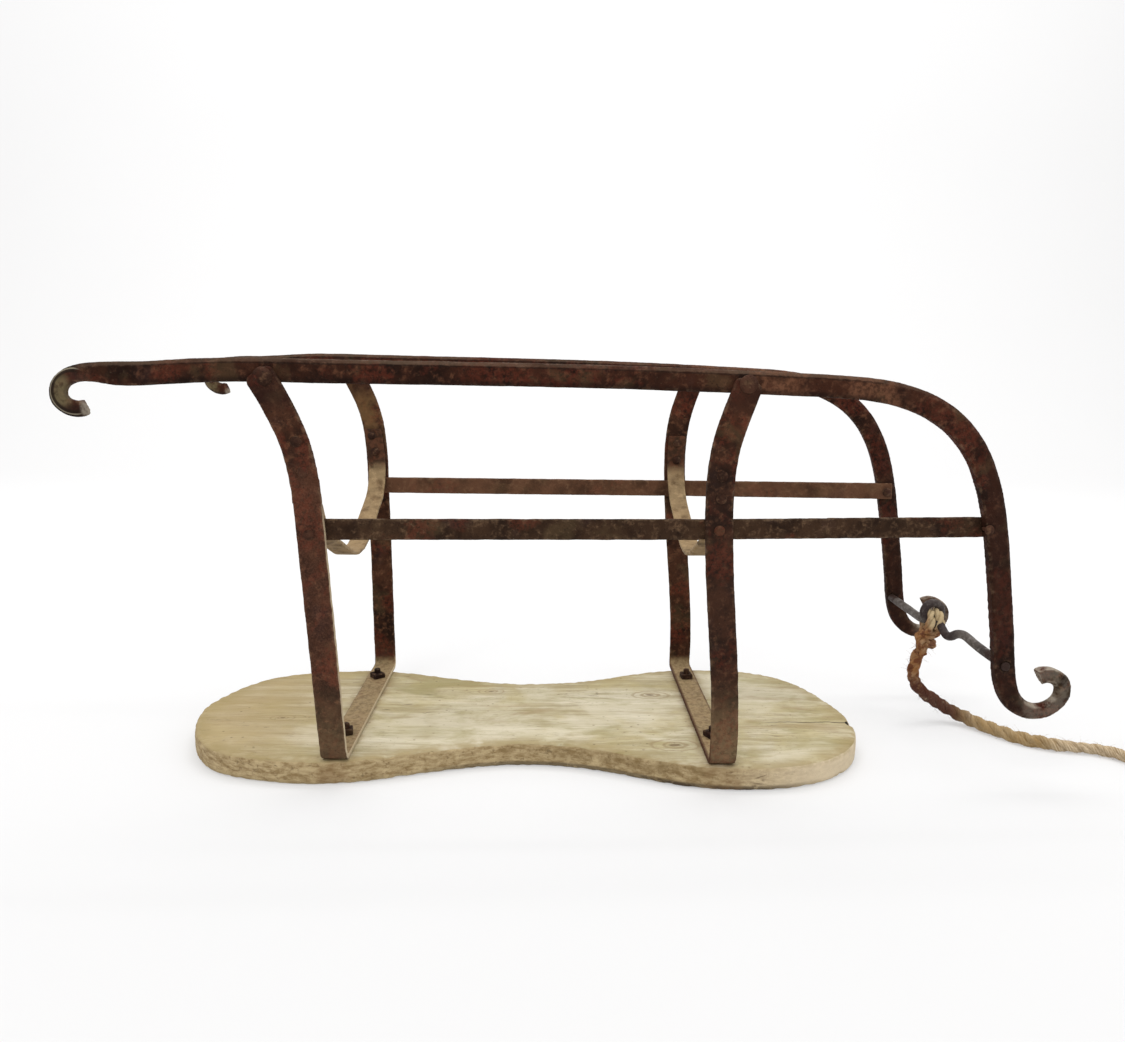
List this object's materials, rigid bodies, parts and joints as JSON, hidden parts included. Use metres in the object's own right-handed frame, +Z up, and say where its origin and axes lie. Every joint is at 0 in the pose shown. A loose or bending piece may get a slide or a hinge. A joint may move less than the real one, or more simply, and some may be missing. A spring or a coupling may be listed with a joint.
{
  "type": "child's sled",
  "caption": "Old child's sled, upside down on its seat: peanut-shaped wooden board, two iron hoops with stays and rails, two toed-in iron runners, draw rod and pull rope.",
  "frame": {"origin": "floor level under the middle of the iron frame's outer box, the sled lying upside down on its seat", "axes": "+X towards the sled's front (the bent-up runner noses), +Z up as it lies, -Y is the sled's left side as ridden"},
  "size_m": [1.1529, 0.3548, 0.4023],
  "materials": {
    "weathered_wood": "dry, greyed and dirty, grain along the board, worn edges",
    "rusty_iron": "old brown rust, matte",
    "painted_iron": "remains of dark red paint over rust, matte",
    "bare_iron": "pale brown rust, worn bare",
    "dark_iron": "dark rust",
    "rope": "old twisted natural-fibre rope, frayed and stained",
    "twine": "thin twine"
  },
  "bodies": {
    "root": {"seat_board": "weathered_wood", "rear_hoop": "rusty_iron", "front_hoop": "rusty_iron", "rear_stay": "bare_iron", "front_stay": "bare_iron", "left_runner": "painted_iron", "right_runner": "painted_iron", "left_rail": "rusty_iron", "right_rail": "rusty_iron", "draw_rod": "bare_iron", "seat_bolt_rear_left": "dark_iron", "seat_nut_rear_left": "dark_iron", "seat_bolt_rear_right": "dark_iron", "seat_nut_rear_right": "dark_iron", "seat_bolt_front_left": "dark_iron", "seat_nut_front_left": "dark_iron", "seat_bolt_front_right": "dark_iron", "seat_nut_front_right": "dark_iron", "runner_rivet_rear_left": "rusty_iron", "rail_rivet_rear_left": "rusty_iron", "stay_rivet_rear_left_upper": "rusty_iron", "stay_rivet_rear_left_lower": "rusty_iron", "runner_rivet_rear_right": "rusty_iron", "rail_rivet_rear_right": "rusty_iron", "stay_rivet_rear_right_upper": "rusty_iron", "stay_rivet_rear_right_lower": "rusty_iron", "runner_rivet_front_left": "rusty_iron", "rail_rivet_front_left": "rusty_iron", "stay_rivet_front_left_upper": "rusty_iron", "stay_rivet_front_left_lower": "rusty_iron", "runner_rivet_front_right": "rusty_iron", "rail_rivet_front_right": "rusty_iron", "stay_rivet_front_right_upper": "rusty_iron", "stay_rivet_front_right_lower": "rusty_iron", "rail_end_rivet_left": "rusty_iron", "rail_end_rivet_right": "rusty_iron", "rope_knot": "rope", "pull_rope": "rope", "rope_coil": "rope", "rope_end_knot": "rope", "coil_tie": "twine"}
  },
  "joints": []
}
